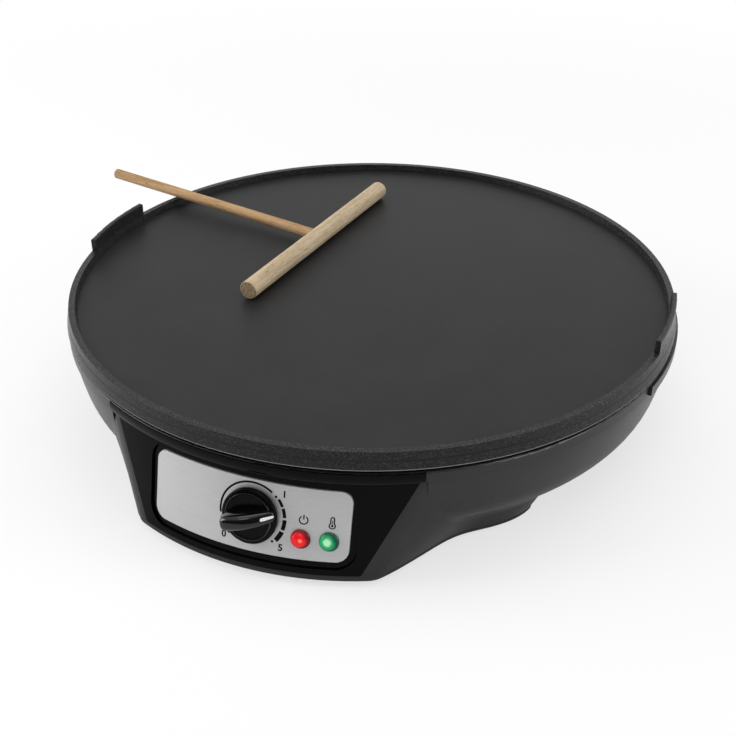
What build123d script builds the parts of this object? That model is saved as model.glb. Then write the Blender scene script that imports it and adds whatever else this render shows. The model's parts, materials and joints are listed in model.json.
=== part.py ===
"""Electric crepe maker: cast griddle plate on a round base with a sloping control front.

Millimetres. The origin is on the ground under the plate's centre, +Z is up and the
control front faces -Y.
"""

from build123d import *
from math import asin, atan2, cos, radians, sin, sqrt
import os

os.makedirs("parts", exist_ok=True)

# ---------------------------------------------------------------- driving dimensions
# Griddle plate
rim_top = 69.0              # top of the rim above the ground
rim_radius = 159.0          # outer edge at the rim's top
rim_depth = 4.0             # cooking surface below the rim
cooking_radius = 155.0
rim_lean = 0.8              # the rim's inner wall leans outwards by this much
rim_bend = 0.6
tab_bend = 0.8
plate_thickness = 4.5
skirt_depth = 9.0
skirt_flare = 1.7           # the skirt grows this much towards its lower edge
tab_height = 7.0            # edge tabs above the rim
tab_radius = 159.0
tab_thickness = 2.7
skirt_thickness = 2.2
tab_half_angle = 9.5

# Base: bowl, collar and housing
seam_gap = 1.5              # open gap between skirt and collar
collar_radius = 160.3
collar_height = 5.5
collar_bend = 1.0
lug_radius = 161.8          # lugs of the collar under the edge tabs
lug_half_angle = 14.0
lug_drop = 0.6              # lug's top below the collar's top
bowl_top_radius = 159.3
bowl_floor_radius = 124.0
bowl_floor = 9.0            # underside of the floor above the ground
# Section's points between its two ends, and how much of the wall lies inwards and above each
bowl_points = [(157.2, 38.0, 1.0, 0.0), (152.6, 25.0, 0.95, 0.3), (143.0, 15.2, 0.6, 0.75)]
crease = 10.0               # radius where the housing's wings run into the bowl
wall = 2.5
housing_bottom = 5.5
housing_rear = 70.0         # distance of the housing's back wall behind the plate's centre line
front_angle = 24.5          # half angle of the curved front
front_radius_low = 142.0    # front's curve at the ground
front_radius_high = 188.0   # front's curve at the collar
front_reach_low = 168.8     # front's distance from the plate's axis at the ground
front_reach_high = 154.0    # the same at the collar
# Wing's outline on the ground: shares across and back from the front's corner to its end
wing_shares = [(0.16, 0.16), (0.33, 0.38), (0.51, 0.58), (0.73, 0.72), (0.91, 0.86)]
wing_end = (112.5, -80.0)
front_corner = 12.0
wing_corner = 8.0

# Control front
fascia_thickness = 2.4
fascia_side_low = 4.9       # shell left beside the fascia at its lower edge
fascia_side_high = 2.4      # the same under the collar
fascia_corner = 1.5
fascia_lip = 0.8            # shell left standing under the fascia
ledge = 2.6                 # shell behind the fascia's edge
ledge_width = 7.0
ledge_corner = 4.0
peg_length = 4.8            # pegs on the fascia's back, from the middle of its wall
panel_width = 96.0
panel_low = 12.6            # lower and upper edge of the panel above the ground
panel_high = 45.6
panel_corner = 5.5
panel_thickness = 0.8
panel_sink = 0.4            # panel's face behind the fascia's face
bezel = 3.5                 # groove round the panel

# Knob, shaft and thermostat
knob_x = 3.15
knob_height = 29.5
knob_radius = 13.2
knob_gap = 0.6
flange_thickness = 2.5
inner_radius = 11.4
grip_width = 7.8
grip_height = 12.6
grip_tail = 10.3
grip_turn = 15.0            # the pointer's rest position above the panel's right
shaft_diameter = 6.0
running_fit = 0.05          # radial clearance of the turning shaft
bushing_diameter = 9.0
thermostat_radius = 13.0
thermostat_depth = 15.0
bracket_depth = 8.0         # bracket's back behind the panel's face
sheet = 1.5

post_diameter = 5.0         # posts on the fascia's back
post_spread = 13.5          # bracket's posts beside the shaft
lamp_post = 5.0             # holder's posts above and below the lamps
peg_diameter = 4.0

shaft_sunk = 8.0            # shaft inside the thermostat
shaft_in_knob = 8.0
shaft_flat = 2.0            # distance of the shaft's flat from its axis
grip_crest = 1.5            # where the grip's top edge starts to slope
grip_foot = 0.6             # grip's end above the flange, at the pointer
grip_tail_bend = 3.4        # rounding of the tail, seen from the front
grip_bend = 1.5             # rounding of the grip's top edges
grip_soft_from = 0.6        # edges above this share of the grip's height are rounded
step_height = 1.2
step_taper = 12.0
flange_bend = 1.0
pointer_width = 1.3
pointer_depth = 0.5
pointer_start = 1.5         # from the grip's crest
body_bend = 1.0             # rounding of the thermostat's can

# Signal lamps
holder_depth = 10.0         # lamp holder's front behind the panel's face
lamp_x = 33.0
lamp_height = 22.3
lamp_pitch = 12.8
lens_diameter = 9.0
lens_dome = 2.2
lens_rise = 0.5             # straight wall of the lens in front of the panel
lens_depth = 7.0
lamp_diameter = 5.6
lamp_length = 14.0
lens_skin = 1.0             # lens wall in front of the lamp
lamp_bend = 1.2
holder_corner = 2.0

# Heating element and heat shield
element_radius = 100.0
element_tube = 7.0
element_gap_angle = 18.0    # half of the open stretch at the front
element_bend = 8.0
rib_width = 13.0
rib_depth = 4.5             # the tube's centre lies this far under the plate
leg_low = 33.0
pin_diameter = 3.0
pin_length = 6.0
saddle_sheet = 1.0
saddle_arc = 6.0
saddle_angles = (27.0, 147.0, 267.0 - 180)
shield_height = 40.0
shield_radius = 140.0
shield_rim = 10.0
shield_sheet = 0.8
shield_flare = 3.0
shield_play = 1.0           # holes round the element's legs and the capillary tube

# Fixing of the plate
stud_circle = 60.0
stud_angles = (90.0, 210.0, 330.0)
boss_diameter = 12.0
boss_depth = 7.2
screw_gap = 1.0             # boss metal left above the screw's tip
screw_diameter = 4.0
screw_head = 7.6
screw_head_height = 2.6
screw_clearance = 0.2
pillar_counterbore = 32.0   # height of the counterbore's step above the ground
spacer_diameter = 10.0

# Sensing bulb, tube and fuse
bulb_diameter = 4.0
bulb_length = 56.0
bulb_y = -68.0
capillary_diameter = 1.6
capillary_drop = (-46.0, -68.0)
fuse_diameter = 5.0
fuse_length = 16.0
fuse_place = (45.0, -62.0)
strap_sheet = 0.8
strap_width = 6.0
fuse_bend = 0.8

# Feet and bottom cover
foot_height = 3.0
foot_diameter = 16.0
stem_diameter = 6.0
stem_length = 6.0
foot_rim = 1.0              # shell's stub beyond the foot's edge
front_foot = (70.0, -116.0)
rear_foot = (76.0, 80.0)
cover_inset = 0.7
cover_screw_diameter = 3.0
cover_boss_diameter = 8.0
cover_boss_top = 20.0
cover_boss_roof = 4.0
cover_screw_front = 48.0    # front screws beside the middle plane
cover_screw_inset = 9.3     # front screws behind the front's face
cover_screw_rear = 90.0
cover_screw_head = 5.6
cover_head_height = 1.6
cover_screw_length = 10.0
cover_slot_y = -108.0
foot_taper = 0.8

# Mains inlet
inlet_height = 31.0
inlet_setback = 3.3         # bushing's seat inside the bowl's top edge
inlet_boss = 12.0           # length of the seat's boss
inlet_depth = 8.5           # thickness of the shell's seat for the bushing
inlet_neck = 14.0
inlet_flange = 20.0
inlet_bore = 7.5
flange_play = 0.5
bushing_lip = 1.0
bushing_lip_length = 1.5
clamp_setback = 34.0        # cord clamp inside the bushing's seat
clamp_span = 24.0
clamp_boss = 8.0
clamp_height = 21.0
clamp_bar = 5.0
clamp_bar_width = 10.0
clamp_screw_reach = 6.0     # screws below the clamp bar

# Terminal block and air slots
block_setback = 66.0        # block's middle inside the bushing's seat
block_length = 44.0
block_width = 20.0
block_height = 16.0
slot_circle = 100.0
slot_count = 8
slot_length = 22.0
slot_width = 4.0
slot_start = 20.0
slot_range = 140.0
terminal_hole = 3.2
block_corner = 1.5

# Wires: each route is the places of its bends between its two ends
lead_diameter = 2.6
bend_share = 0.45           # each bend takes this share of its shorter run
lead_exit = 10.0            # straight run out of the terminal block
lead_pitch = 14.0           # block's terminals side by side
terminal_offset = 7.0
terminal_drop = 3.0
live_route = [(-15.0, 66.0, 18.0), (-13.0, -55.0, 16.0)]
neutral_route = [(-30.0, 50.0, 16.0), (-30.0, -50.0, 16.0)]
earth_route = [(30.0, 45.0, 22.0)]
capillary_route = [(-38.0, -112.0, 28.0)]
capillary_low = 28.0
leg_route_low = 14.0        # leads under the element's legs
live_run = 16.0             # straight runs into the thermostat's back
switched_run = 14.0
capillary_run = 12.0

# Spreader
head_diameter = 10.0
handle_diameter = 6.0
rest_gap = 0.3
head_near = (-54.0, -40.0)
head_far = (-35.3, 107.4)
handle_end = (-195.7, 65.5)
wood_bend = 0.6             # broken edges of the two sticks

long_cut = 40.0             # longer than any wall that a hole goes through

# ---------------------------------------------------------------- heights that follow
skirt_bottom = rim_top - skirt_depth
cooking_top = rim_top - rim_depth
plate_under = cooking_top - plate_thickness
collar_top = skirt_bottom - seam_gap
collar_bottom = collar_top - collar_height
front_span = collar_bottom - foot_height
bowl_top = collar_bottom + 1            # the bowl runs up into the collar
screw_end = plate_under - screw_gap     # tips of the long screws
floor_pad = bowl_floor + 2 * wall       # top of the thick places in the floor
inlet_face = bowl_top_radius - inlet_setback
clamp_y = inlet_face - clamp_setback
block_y = inlet_face - block_setback


# ---------------------------------------------------------------- control front's surface
def front_curve(height, inset=0.0):
    """Radius and centre of the front's arc at a height, set back by an inset."""
    share = (height - foot_height) / front_span
    radius = front_radius_low + (front_radius_high - front_radius_low) * share
    reach = front_reach_low + (front_reach_high - front_reach_low) * share
    return radius - inset, radius - reach


def front_place(x, height, inset=0.0):
    """Plane on the control front: its X runs to the right, its Z points out of the front."""
    radius, centre = front_curve(height, inset)
    turn = asin(x / radius)
    radius_slope = (front_radius_high - front_radius_low) / front_span
    reach_slope = (front_reach_high - front_reach_low) / front_span
    rise = (radius_slope - reach_slope) * cos(turn) - radius_slope
    return Plane(
        origin=(x, centre - radius * cos(turn), height),
        x_dir=(cos(turn), sin(turn), 0),
        z_dir=(sin(turn), -cos(turn), rise),
    )


def front_arc(height, inset=0.0):
    """Start, middle and end of the front's arc at a height, from left to right."""
    radius, centre = front_curve(height, inset)
    half = radians(front_angle)
    side = (radius * sin(half), centre - radius * cos(half))
    return (-side[0], side[1]), (0, centre - radius), side


def front_wedge(inset, back=60.0):
    """Solid behind the control front's surface, set back by an inset."""
    with BuildPart() as wedge:
        for height in (foot_height, collar_bottom):
            left, middle, right = front_arc(height, inset)
            with BuildSketch(Plane.XY.offset(height)):
                with BuildLine():
                    ThreePointArc(left, middle, right)
                    Polyline(right, (right[0], -back), (left[0], -back), left)
                make_face()
        loft(ruled=True)
    return wedge.part


def front_window(half_low, half_high, low, high, corner):
    """Prism through the front, seen from the front as a trapezium with round corners."""
    with BuildPart() as window:
        with BuildSketch(Plane.XZ) as outline:
            with BuildLine():
                Polyline((-half_low, low), (half_low, low), (half_high, high), (-half_high, high),
                         close=True)
            make_face()
            fillet(outline.vertices(), radius=corner)
        extrude(amount=200)
    return window.part


# ---------------------------------------------------------------- housing under the plate
def wing_line(inset=0.0):
    """Points of the right wing's outline on the ground, set inwards by an inset."""
    start = front_arc(foot_height)[2]
    points = [
        (start[0] + out * (wing_end[0] - start[0]), start[1] + back * (wing_end[1] - start[1]))
        for out, back in [*wing_shares, (1, 1)]
    ]
    result = []
    for index, (x, y) in enumerate(points):
        before = points[max(index - 1, 0)]
        after = points[min(index + 1, len(points) - 1)]
        along = (after[0] - before[0], after[1] - before[1])
        length = sqrt(along[0] ** 2 + along[1] ** 2)
        result.append((x - inset * along[1] / length, y + inset * along[0] / length))
    return result


def housing(bottom, inset=0.0, front_inset=0.0):
    """Housing with its wings: flared on the ground, flush with the bowl under the collar."""
    rear = -housing_rear - inset
    with BuildPart() as body:
        left, middle, right = front_arc(bottom, front_inset)
        side = [right, *wing_line(inset)]
        end_x, end_y = side[-1]
        with BuildSketch(Plane.XY.offset(bottom)):
            with BuildLine():
                ThreePointArc(left, middle, right)
                Spline(side)
                Polyline((end_x, end_y), (end_x, rear), (-end_x, rear), (-end_x, end_y))
                Spline([(-x, y) for x, y in side])
            make_face()
        left, middle, right = front_arc(bowl_top, front_inset)
        reach = sqrt(right[0] ** 2 + right[1] ** 2)
        end_x = sqrt(reach ** 2 - end_y ** 2)
        turn = (atan2(right[1], right[0]) + atan2(end_y, end_x)) / 2
        mid = (reach * cos(turn), reach * sin(turn))
        with BuildSketch(Plane.XY.offset(bowl_top)):
            with BuildLine():
                ThreePointArc(left, middle, right)
                ThreePointArc(right, mid, (end_x, end_y))
                Polyline((end_x, end_y), (end_x, rear), (-end_x, rear), (-end_x, end_y))
                ThreePointArc(left, (-mid[0], mid[1]), (-end_x, end_y))
            make_face()
        loft(ruled=True)
    return body.part


def rounded_housing(bottom):
    """Housing with its front corners and wing ends rounded."""
    body = housing(bottom)
    corner = front_arc(bottom)[2]
    for x, y, radius in ((*corner, front_corner), (wing_end[0], -housing_rear, wing_corner)):
        for side in (1, -1):
            spot = Vertex(side * x, y, bottom)
            standing = body.edges().filter_by(lambda edge: edge.bounding_box().size.Z > 20)
            body = body.fillet(radius, [standing.sort_by_distance(spot)[0]])
    return body


def bowl_profile(inset=0.0):
    """Half section of the bowl, from its top edge down to the floor's centre."""
    top = (bowl_top_radius - inset, bowl_top)
    floor = (bowl_floor_radius, bowl_floor + inset)
    between = [(x - inwards * inset, z + above * inset) for x, z, inwards, above in bowl_points]
    Spline([top, *between, floor], tangents=[(-0.03, -1), (-1, 0)])
    Polyline(floor, (0, floor[1]), (0, top[1]), top)


def ring_sector(half_angle):
    """Keep of a round sketch only its sectors to the left and right."""
    reach = 2 * collar_radius
    rise = reach * sin(radians(half_angle))
    run = reach * cos(radians(half_angle))
    with BuildSketch(mode=Mode.PRIVATE) as bow:
        with BuildLine():
            Polyline((0, 0), (run, rise), (run, -rise), close=True)
        make_face()
        mirror(about=Plane.YZ)
    add(bow.sketch, mode=Mode.INTERSECT)


def post_root(x):
    """Depth behind a seat's plane at which a post beside it ends inside the fascia."""
    skin = fascia_thickness - panel_sink - panel_thickness
    return panel_thickness + skin / 2 + x ** 2 / (front_radius_low + front_radius_high)


def panel_bar(growth):
    """Bar through the front with the panel's outline, grown by a margin."""
    with BuildPart() as bar:
        with BuildSketch(Plane.XZ):
            with Locations((0, (panel_low + panel_high) / 2)):
                RectangleRounded(
                    panel_width + 2 * growth, panel_high - panel_low + 2 * growth,
                    panel_corner + growth,
                )
        extrude(amount=200)
    return bar.part


def finish(builder, label):
    """Name a finished piece and write it."""
    builder.part.label = label
    export_step(builder.part, f"parts/{label}.step")


# ---------------------------------------------------------------- shared outlines and places
fascia_low = housing_bottom + fascia_lip
fascia_half_low = front_arc(foot_height)[2][0] - fascia_side_low
fascia_half_high = front_arc(collar_bottom)[2][0] - fascia_side_high
fascia_prism = front_window(
    fascia_half_low, fascia_half_high, fascia_low, collar_bottom, fascia_corner)
front_solid = front_wedge(0)
fascia_back = front_wedge(fascia_thickness)
panel_face = front_wedge(panel_sink)
recess_floor = front_wedge(panel_sink + panel_thickness)
knob_seat = front_place(knob_x, knob_height, panel_sink)
lamp_seat = front_place(lamp_x, lamp_height, panel_sink)
bracket_face = bracket_depth - sheet
lamp_spots = [(-lamp_pitch / 2, 0), (lamp_pitch / 2, 0)]
peg_places = [
    (side * (fascia_half_low - ledge_width / 2 + share * (fascia_half_high - fascia_half_low)),
     fascia_low + share * (collar_bottom - fascia_low))
    for side in (1, -1) for share in (0.25, 0.75)
]
post_places = [
    (knob_seat, -post_spread, 0, bracket_face), (knob_seat, post_spread, 0, bracket_face),
    (lamp_seat, 0, -lamp_post, holder_depth), (lamp_seat, 0, lamp_post, holder_depth),
]
pillar_places = [
    (stud_circle * cos(radians(angle)), stud_circle * sin(radians(angle))) for angle in stud_angles
]
front_feet = [front_foot, (-front_foot[0], front_foot[1])]
rear_feet = [rear_foot, (-rear_foot[0], rear_foot[1])]
cover_front_y = front_place(cover_screw_front, housing_bottom).origin.Y + cover_screw_inset
cover_rear_y = wall / 2 - housing_rear - cover_boss_diameter / 2 - wall
cover_screw_places = [
    (-cover_screw_front, cover_front_y), (cover_screw_front, cover_front_y),
    (-cover_screw_rear, cover_rear_y), (cover_screw_rear, cover_rear_y),
]
upright = (Align.CENTER, Align.CENTER, Align.MIN)
hanging = (Align.CENTER, Align.CENTER, Align.MAX)

# ---------------------------------------------------------------- control fascia
# Moulded front with a recess for the panel, posts for the bracket and lamp holder, and pegs
with BuildPart() as control_fascia:
    add(front_solid)
    add(panel_bar(bezel) - recess_floor, mode=Mode.SUBTRACT)
    add(fascia_back, mode=Mode.SUBTRACT)
    add(fascia_prism, mode=Mode.INTERSECT)
    for seat, x, y, depth in post_places:
        with Locations(seat * Location((x, y, -depth))):
            Cylinder(post_diameter / 2, depth - post_root(x), align=upright)
    with Locations(*[front_place(x, z).offset(-fascia_thickness / 2) for x, z in peg_places]):
        Cylinder(peg_diameter / 2, peg_length, align=hanging)
    with Locations(knob_seat):
        Cylinder(bushing_diameter / 2, long_cut, mode=Mode.SUBTRACT)
    with Locations(*[lamp_seat * Location((x, y, 0)) for x, y in lamp_spots]):
        Cylinder(lens_diameter / 2, long_cut, mode=Mode.SUBTRACT)
finish(control_fascia, "control_fascia")

# Brushed panel in the recess
with BuildPart() as control_panel:
    add(panel_bar(0) & panel_face)
    add(recess_floor, mode=Mode.SUBTRACT)
    with Locations(knob_seat):
        Cylinder(bushing_diameter / 2, long_cut, mode=Mode.SUBTRACT)
    with Locations(*[lamp_seat * Location((x, y, 0)) for x, y in lamp_spots]):
        Cylinder(lens_diameter / 2, long_cut, mode=Mode.SUBTRACT)
finish(control_panel, "control_panel")

# ---------------------------------------------------------------- base shell
# Window in the shell behind the fascia
ledge_prism = front_window(
    fascia_half_low - ledge_width, fascia_half_high - ledge_width,
    fascia_low + ledge_width, collar_bottom - ledge_width, ledge_corner,
)
fascia_seat = (front_solid - fascia_back) & fascia_prism

# Everything that is hollow inside the base, with the bosses and pillars left standing
with BuildPart() as hollow:
    with BuildSketch(Plane.XZ):
        with BuildLine():
            bowl_profile(wall)
        make_face()
    revolve(axis=Axis.Z)
    add(housing(0, wall, fascia_thickness + ledge))
    with Locations(*[(x, y, 0) for x, y in pillar_places]):
        Cylinder(boss_diameter / 2, shield_height, align=upright, mode=Mode.SUBTRACT)
    with Locations(*[(x, y, 0) for x, y in cover_screw_places]):
        Cylinder(cover_boss_diameter / 2, cover_boss_top, align=upright, mode=Mode.SUBTRACT)
    with Locations(*[(x, y, 0) for x, y in rear_feet]):
        Cylinder(foot_diameter / 2, floor_pad, align=upright, mode=Mode.SUBTRACT)
    with Locations((0, clamp_y, 0)):
        with Locations((-clamp_span / 2, 0), (clamp_span / 2, 0)):
            Cylinder(clamp_boss / 2, clamp_height, align=upright, mode=Mode.SUBTRACT)
    with Locations((0, block_y, 0)):
        Box(block_length, block_width, floor_pad, align=upright, mode=Mode.SUBTRACT)
    with Locations(Plane((0, inlet_face, inlet_height), z_dir=(0, 1, 0))):
        Cylinder(inlet_flange / 2 + wall, inlet_depth, align=hanging, mode=Mode.SUBTRACT)

with BuildPart() as base_shell:
    with BuildSketch(Plane.XZ):
        with BuildLine():
            bowl_profile()
        make_face()
    revolve(axis=Axis.Z)
    # The bowl is cut back where the housing's front takes its place
    with BuildSketch(Plane.XY.offset(bowl_floor)):
        with Locations((0, -housing_rear - bowl_top_radius)):
            Rectangle(2 * front_arc(collar_bottom)[2][0], 2 * bowl_top_radius)
    extrude(amount=rim_top, mode=Mode.SUBTRACT)
    add(rounded_housing(housing_bottom))
    # Soft creases where the wings run into the bowl
    fillet([edge for edge in edges() if edge.bounding_box().min.Z > bowl_floor
            and edge.bounding_box().size.Z > 2 * crease], radius=crease)
    # Collar ring with its rounded upper edge
    with BuildSketch(Plane.XY.offset(collar_bottom)):
        Circle(collar_radius)
    extrude(amount=collar_height)
    fillet(edges().group_by(Axis.Z)[-1], radius=collar_bend)
    # Lugs under the edge tabs
    with BuildSketch(Plane.XY.offset(collar_bottom)):
        Circle(lug_radius)
        ring_sector(lug_half_angle)
    extrude(amount=collar_height - lug_drop)
    # Foot stubs under the bowl, rear inlet seat, then the hollow and the openings
    with Locations(*[(x, y, foot_height) for x, y in rear_feet]):
        Cylinder(foot_diameter / 2 + foot_rim, bowl_floor - foot_height + wall / 2, align=upright)
    with Locations(Plane((0, inlet_face, inlet_height), z_dir=(0, 1, 0))):
        Cylinder(inlet_flange / 2 + wall, inlet_boss, align=hanging)
        Cylinder(inlet_flange / 2 + flange_play, inlet_boss, align=upright, mode=Mode.SUBTRACT)
    add(hollow.part, mode=Mode.SUBTRACT)
    with BuildSketch(Plane.XY.offset(bowl_top)):
        Circle(bowl_top_radius - wall)
    extrude(amount=collar_height, mode=Mode.SUBTRACT)
    add(fascia_seat, mode=Mode.SUBTRACT)
    add(ledge_prism, mode=Mode.SUBTRACT)
    with Locations(*[front_place(x, z) for x, z in peg_places]):
        Cylinder(peg_diameter / 2, 4 * peg_length, mode=Mode.SUBTRACT)
    with Locations(*[(x, y, 0) for x, y in pillar_places]):
        Cylinder(screw_diameter / 2 + screw_clearance, rim_top, align=upright, mode=Mode.SUBTRACT)
        Cylinder(screw_head / 2 + screw_clearance, pillar_counterbore, align=upright,
                 mode=Mode.SUBTRACT)
    with Locations(*[(x, y, 0) for x, y in cover_screw_places]):
        Cylinder(cover_screw_diameter / 2, cover_boss_top - cover_boss_roof, align=upright,
                 mode=Mode.SUBTRACT)
    with Locations(*[(x, y, 0) for x, y in rear_feet]):
        Cylinder(stem_diameter / 2, foot_height + stem_length, align=upright, mode=Mode.SUBTRACT)
    with Locations(Plane((0, inlet_face, inlet_height), z_dir=(0, 1, 0))):
        Cylinder(inlet_neck / 2, 4 * inlet_depth, mode=Mode.SUBTRACT)
    with Locations((0, clamp_y, clamp_height)):
        with Locations((-clamp_span / 2, 0), (clamp_span / 2, 0)):
            Cylinder(cover_screw_diameter / 2, cover_screw_length, align=hanging,
                     mode=Mode.SUBTRACT)
    # Air slots in the floor
    with Locations((0, 0, bowl_floor)):
        with PolarLocations(slot_circle, slot_count, start_angle=slot_start,
                            angular_range=slot_range, endpoint=True):
            Box(slot_length, slot_width, 3 * wall, mode=Mode.SUBTRACT)
finish(base_shell, "base_shell")

# ---------------------------------------------------------------- bottom cover
with BuildPart() as bottom_cover:
    with BuildSketch(Plane.XY.offset(foot_height)) as outline:
        left, middle, right = front_arc(housing_bottom, cover_inset)
        side = [right, *wing_line(cover_inset)]
        corner_left = (-side[-1][0], -housing_rear - cover_inset)
        corner_right = (side[-1][0], -housing_rear - cover_inset)
        with BuildLine():
            ThreePointArc(left, middle, right)
            Spline(side)
            Polyline(side[-1], corner_right, corner_left, (-side[-1][0], side[-1][1]))
            Spline([(-x, y) for x, y in side])
        make_face()
        fillet([outline.vertices().sort_by_distance(Vertex(*spot, foot_height))[0]
                for spot in (left, right)], radius=front_corner)
        fillet([outline.vertices().sort_by_distance(Vertex(*spot, foot_height))[0]
                for spot in (corner_left, corner_right)], radius=wing_corner)
    extrude(amount=housing_bottom - foot_height)
    with Locations(*[(x, y, foot_height) for x, y in front_feet]):
        Cylinder(stem_diameter / 2, long_cut, mode=Mode.SUBTRACT)
    with Locations(*[(x, y, foot_height) for x, y in cover_screw_places]):
        Cylinder(cover_screw_diameter / 2, long_cut, mode=Mode.SUBTRACT)
        Cylinder(cover_screw_head / 2, 2 * cover_head_height, mode=Mode.SUBTRACT)
    with BuildSketch(Plane.XY.offset(foot_height)):
        with Locations((0, cover_slot_y)):
            with GridLocations(2 * slot_width, 0, slot_count, 1):
                SlotOverall(slot_length, slot_width, rotation=90)
    extrude(amount=long_cut, mode=Mode.SUBTRACT)
finish(bottom_cover, "bottom_cover")

for number, (x, y) in enumerate(cover_screw_places, 1):
    with BuildPart() as cover_screw:
        with Locations((x, y, foot_height)):
            Cylinder(cover_screw_head / 2, cover_head_height, align=upright)
            Cylinder(cover_screw_diameter / 2, cover_screw_length, align=upright)
    finish(cover_screw, f"cover_screw_{number}")

# Rubber feet with a stem in the cover or in the shell
for name, (x, y), stem in (
    ("front_foot_right", front_feet[0], housing_bottom - foot_height),
    ("front_foot_left", front_feet[1], housing_bottom - foot_height),
    ("rear_foot_right", rear_feet[0], stem_length),
    ("rear_foot_left", rear_feet[1], stem_length),
):
    with BuildPart() as foot:
        with Locations((x, y, 0)):
            Cone(foot_diameter / 2 - foot_taper, foot_diameter / 2, foot_height, align=upright)
            Cylinder(stem_diameter / 2, foot_height + stem, align=upright)
    finish(foot, name)

# ---------------------------------------------------------------- griddle plate
rib_inner = element_radius - rib_width / 2
rib_outer = element_radius + rib_width / 2
tube_height = plate_under - rib_depth
skirt_inner = rim_radius - skirt_thickness
with BuildPart() as griddle_plate:
    with BuildSketch(Plane.XZ):
        with BuildLine():
            Polyline(
                (0, cooking_top), (cooking_radius, cooking_top), (cooking_radius + rim_lean, rim_top),
                (rim_radius, rim_top), (rim_radius + skirt_flare, skirt_bottom),
                (skirt_inner, skirt_bottom), (skirt_inner, plate_under), (0, plate_under),
                close=True,
            )
        make_face()
    revolve(axis=Axis.Z)
    rims = edges().filter_by(GeomType.CIRCLE)
    fillet(rims.sort_by(SortBy.RADIUS)[-1], radius=rim_bend)
    # Edge tabs standing on the rim
    with BuildSketch(Plane.XY.offset(rim_top - rim_depth / 2)):
        Circle(tab_radius)
        Circle(tab_radius - tab_thickness, mode=Mode.SUBTRACT)
        ring_sector(tab_half_angle)
    extrude(amount=tab_height + rim_depth / 2)
    fillet(edges().group_by(Axis.Z)[-1], radius=tab_bend)
    # Rib that holds the element's tube, open at the front
    with BuildSketch(Plane.XZ):
        with Locations((element_radius, tube_height)):
            Rectangle(rib_width, rib_depth, align=(Align.CENTER, Align.MIN))
    revolve(axis=Axis.Z)
    with BuildSketch(Plane.XZ):
        with Locations((element_radius, tube_height)):
            Circle(element_tube / 2)
    revolve(axis=Axis.Z, mode=Mode.SUBTRACT)
    with Locations((0, -element_radius, plate_under)):
        Box(2 * rib_outer * sin(radians(element_gap_angle)), 4 * rib_width, rib_depth,
            align=hanging, mode=Mode.SUBTRACT)
    # Bosses for the long screws
    with Locations(*[(x, y, plate_under) for x, y in pillar_places]):
        Cylinder(boss_diameter / 2, boss_depth, align=hanging)
    with Locations(*[(x, y, screw_end) for x, y in pillar_places]):
        Cylinder(screw_diameter / 2, boss_depth, align=hanging, mode=Mode.SUBTRACT)
finish(griddle_plate, "griddle_plate")

# ---------------------------------------------------------------- heating element
gap = radians(element_gap_angle)
arc_end = Vector(element_radius * sin(gap), -element_radius * cos(gap), tube_height)
ahead = Vector(-cos(gap), -sin(gap), 0)     # where the tube points at the end of its arc
half_turn = radians(45)
bend_middle = (arc_end + ahead * (element_bend * sin(half_turn))
               - Vector(0, 0, element_bend * (1 - cos(half_turn))))
bend_end = arc_end + ahead * element_bend - Vector(0, 0, element_bend)
leg_end = Vector(bend_end.X, bend_end.Y, leg_low)
leg_places = [(bend_end.X, bend_end.Y), (-bend_end.X, bend_end.Y)]


def across(point):
    """The same point on the other side of the middle plane."""
    return Vector(-point.X, point.Y, point.Z)


with BuildPart() as heating_element:
    with BuildLine():
        Line(leg_end, bend_end)
        ThreePointArc(bend_end, bend_middle, arc_end)
        ThreePointArc(arc_end, (0, element_radius, tube_height), across(arc_end))
        ThreePointArc(across(arc_end), across(bend_middle), across(bend_end))
        Line(across(bend_end), across(leg_end))
    with BuildSketch(Plane(leg_end)):
        Circle(element_tube / 2)
    sweep()
    with Locations(*[(x, y, leg_low) for x, y in leg_places]):
        Cylinder(pin_diameter / 2, pin_length, align=hanging)
finish(heating_element, "heating_element")

# Saddles that press the tube into the rib
for number, angle in enumerate(saddle_angles, 1):
    with BuildPart() as saddle:
        with BuildSketch(Plane((0, 0, 0), x_dir=(cos(radians(angle)), sin(radians(angle)), 0),
                               z_dir=(sin(radians(angle)), -cos(radians(angle)), 0))):
            with Locations((element_radius, tube_height)):
                Circle(element_tube / 2 + saddle_sheet)
                Rectangle(rib_width, 2 * saddle_sheet)
                Circle(element_tube / 2, mode=Mode.SUBTRACT)
                Rectangle(2 * rib_width, rib_width, align=(Align.CENTER, Align.MIN),
                          mode=Mode.SUBTRACT)
        revolve(axis=Axis.Z, revolution_arc=saddle_arc)
    finish(saddle, f"element_saddle_{number}")

# ---------------------------------------------------------------- heat shield
with BuildPart() as heat_shield:
    with BuildSketch(Plane.XZ):
        with BuildLine():
            Polyline((0, shield_height), (shield_radius, shield_height),
                     (shield_radius + shield_flare, shield_height + shield_rim),
                     (shield_radius + shield_flare - shield_sheet, shield_height + shield_rim),
                     (shield_radius - shield_sheet, shield_height + shield_sheet),
                     (0, shield_height + shield_sheet), close=True)
        make_face()
    revolve(axis=Axis.Z)
    with Locations(*[(x, y, shield_height) for x, y in pillar_places]):
        Cylinder(screw_diameter / 2 + screw_clearance, shield_rim, mode=Mode.SUBTRACT)
    with Locations(*[(x, y, shield_height) for x, y in leg_places]):
        Cylinder(element_tube / 2 + shield_play, shield_rim, mode=Mode.SUBTRACT)
    with Locations((*capillary_drop, shield_height)):
        Cylinder(capillary_diameter / 2 + shield_play, shield_rim, mode=Mode.SUBTRACT)
finish(heat_shield, "heat_shield")

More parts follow.
